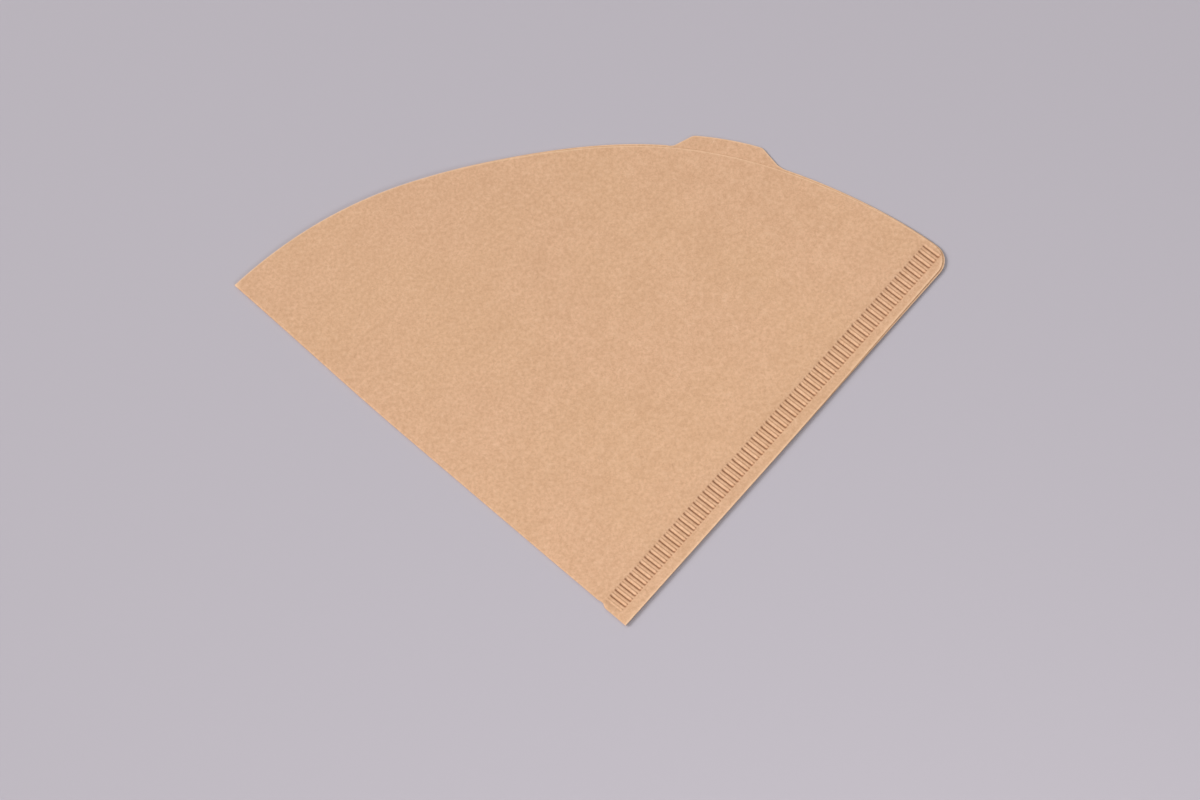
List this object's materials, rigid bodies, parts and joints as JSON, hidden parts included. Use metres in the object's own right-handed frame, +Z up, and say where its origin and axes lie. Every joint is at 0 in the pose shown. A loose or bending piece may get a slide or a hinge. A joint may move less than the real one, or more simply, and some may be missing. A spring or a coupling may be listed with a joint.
{
  "type": "paper coffee filter",
  "caption": "Unbleached cone-shaped paper coffee filter, folded flat: folded edge, crimped seam, curved rim and a small pull tab on the lower ply.",
  "frame": {"origin": "middle of the flat filter's box, on the surface that the lower ply lies on", "axes": "+Z up out of the upper ply, +Y from the point to the curved rim, -X towards the folded edge, +X towards the crimped seam"},
  "size_m": [0.1736, 0.1264, 0.0017],
  "materials": {
    "paper": "matte"
  },
  "bodies": {
    "root": {"filter_sheet": "paper"}
  },
  "joints": []
}
